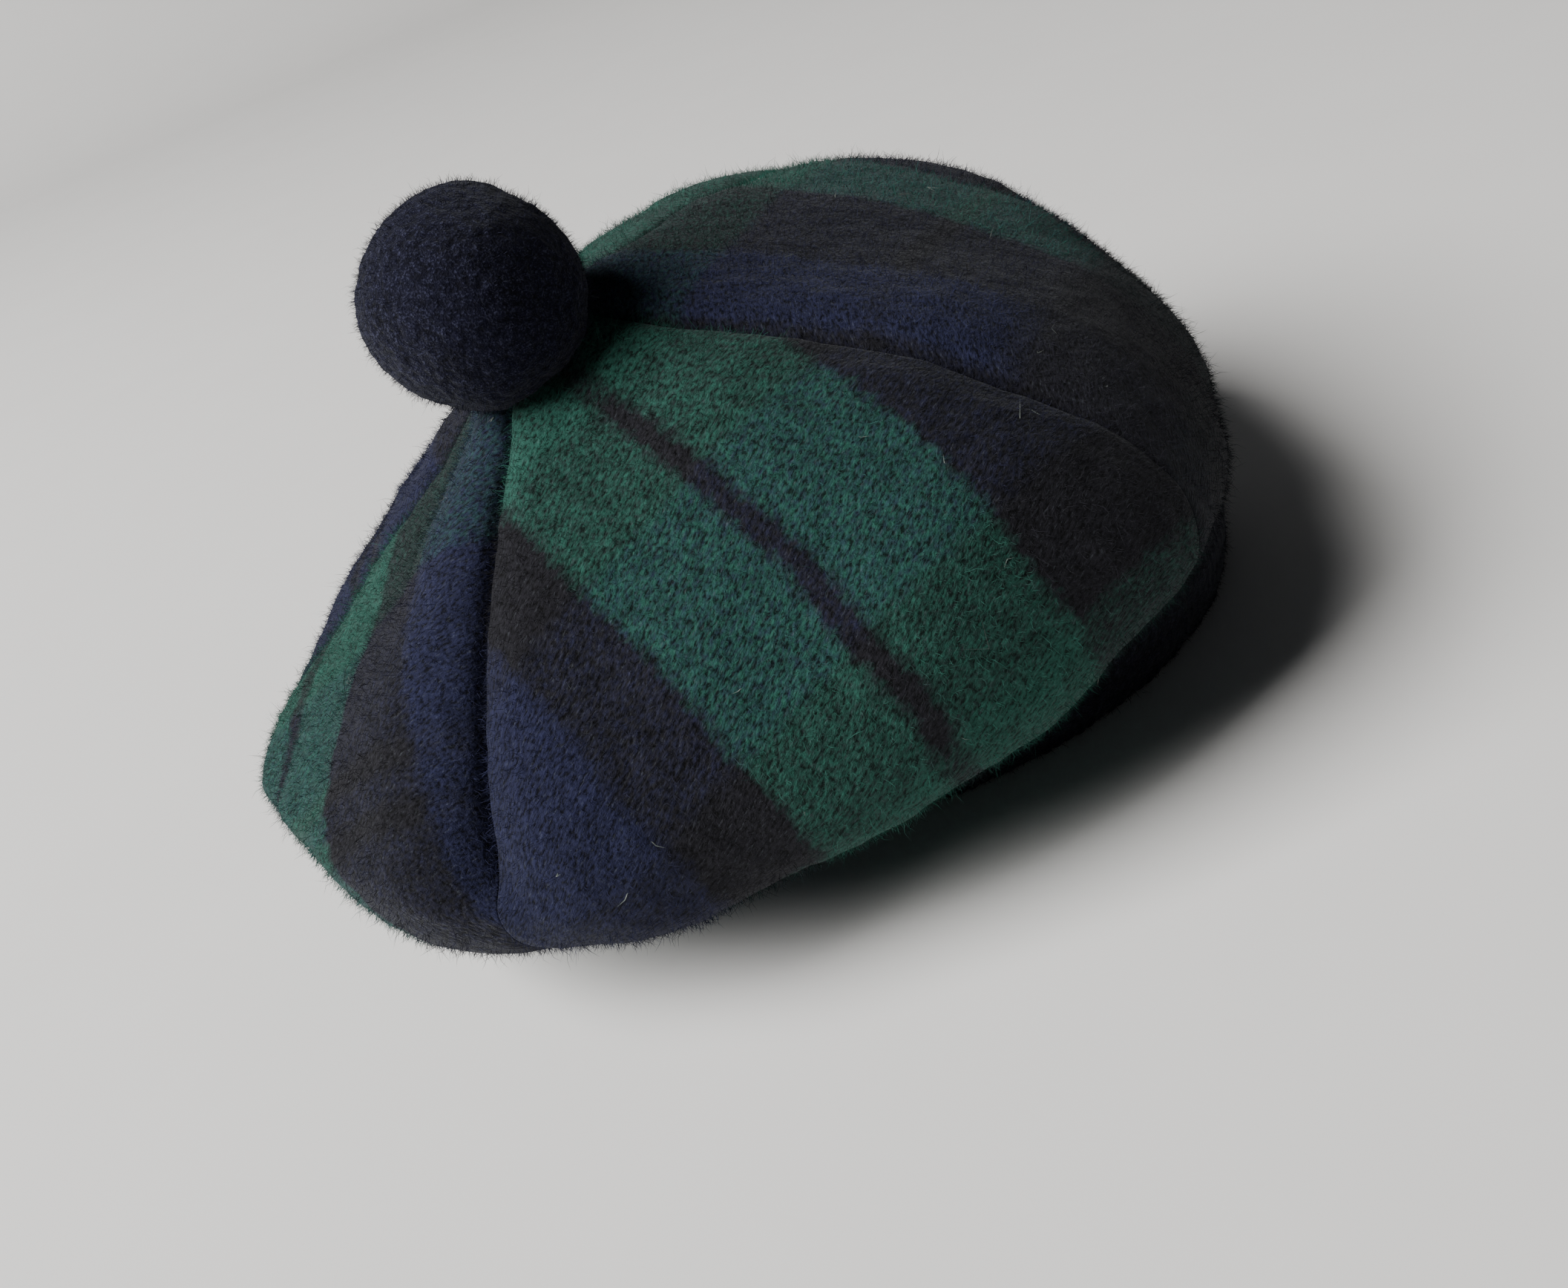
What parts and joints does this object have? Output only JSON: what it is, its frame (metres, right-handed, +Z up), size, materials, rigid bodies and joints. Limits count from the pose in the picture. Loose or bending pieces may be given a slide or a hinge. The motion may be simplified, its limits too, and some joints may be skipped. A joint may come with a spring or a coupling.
{
  "type": "tam o' shanter",
  "caption": "Soft wide wool check bonnet with a puffed seamed crown set back on an oval knitted headband and a felt pompom on top.",
  "frame": {"origin": "under the middle of the whole hat's box, on the surface that the headband rests on", "axes": "+X to the wearer's front, +Y to the wearer's left, +Z up through the crown"},
  "size_m": [0.292, 0.269, 0.1809],
  "materials": {
    "check_cloth": "fulled and brushed wool in a dark green, navy and near-black check",
    "navy_knit": "fulled knit, dark navy",
    "navy_felt": "dense fuzzy wool felt, dark navy"
  },
  "bodies": {
    "root": {"gore_near": "check_cloth", "gore_front": "check_cloth", "gore_far": "check_cloth", "gore_back": "check_cloth", "headband": "navy_knit", "pompom": "navy_felt"}
  },
  "joints": []
}
